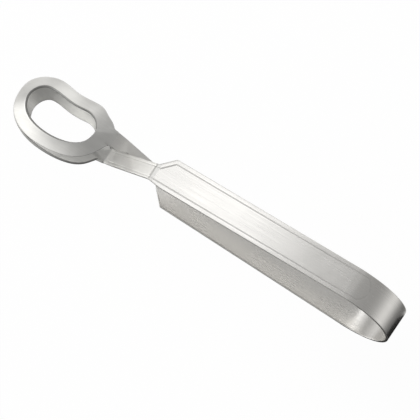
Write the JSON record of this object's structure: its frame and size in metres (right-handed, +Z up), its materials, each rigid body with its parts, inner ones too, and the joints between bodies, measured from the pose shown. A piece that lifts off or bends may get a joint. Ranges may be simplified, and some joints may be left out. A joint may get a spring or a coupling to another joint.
{
  "type": "serving tongs",
  "caption": "Self-closing steel serving tongs: one folded strip whose crossed arms carry open, dished ring jaws that part when the handles are squeezed.",
  "frame": {"origin": "middle of the flat outer face of the lower handle, the face that the tongs lie on", "axes": "+X along the lower handle towards the spring bend, +Y across the strip towards the dented side of the jaws, +Z up towards the upper handle"},
  "size_m": [0.1646, 0.0255, 0.038],
  "materials": {
    "stainless_steel": "satin, brushed along the handles"
  },
  "bodies": {
    "bend": {"spring_bend": "stainless_steel"},
    "lower_arm": {"lower_handle": "stainless_steel", "lower_handle_neck": "stainless_steel", "upper_jaw": "stainless_steel"},
    "upper_arm": {"upper_handle": "stainless_steel", "upper_handle_neck": "stainless_steel", "lower_jaw": "stainless_steel"}
  },
  "joints": [
    {"name": "lower_arm_flex", "type": "hinge", "parent": "bend", "child": "lower_arm", "pos_m": [0.04875, 0, 0.00341], "axis": [0, 1, 0], "range_deg": [0, 5.5], "stiffness_Nm_per_rad": 4, "springref_deg": -2.86},
    {"name": "upper_arm_flex", "type": "hinge", "parent": "bend", "child": "upper_arm", "pos_m": [0.04624, 0, 0.03579], "axis": [0, -1, 0], "range_deg": [0, 5.5], "stiffness_Nm_per_rad": 4, "springref_deg": -2.86}
  ],
  "couplings": [
    {"joint": "upper_arm_flex", "follows": "lower_arm_flex", "ratio": 1}
  ]
}
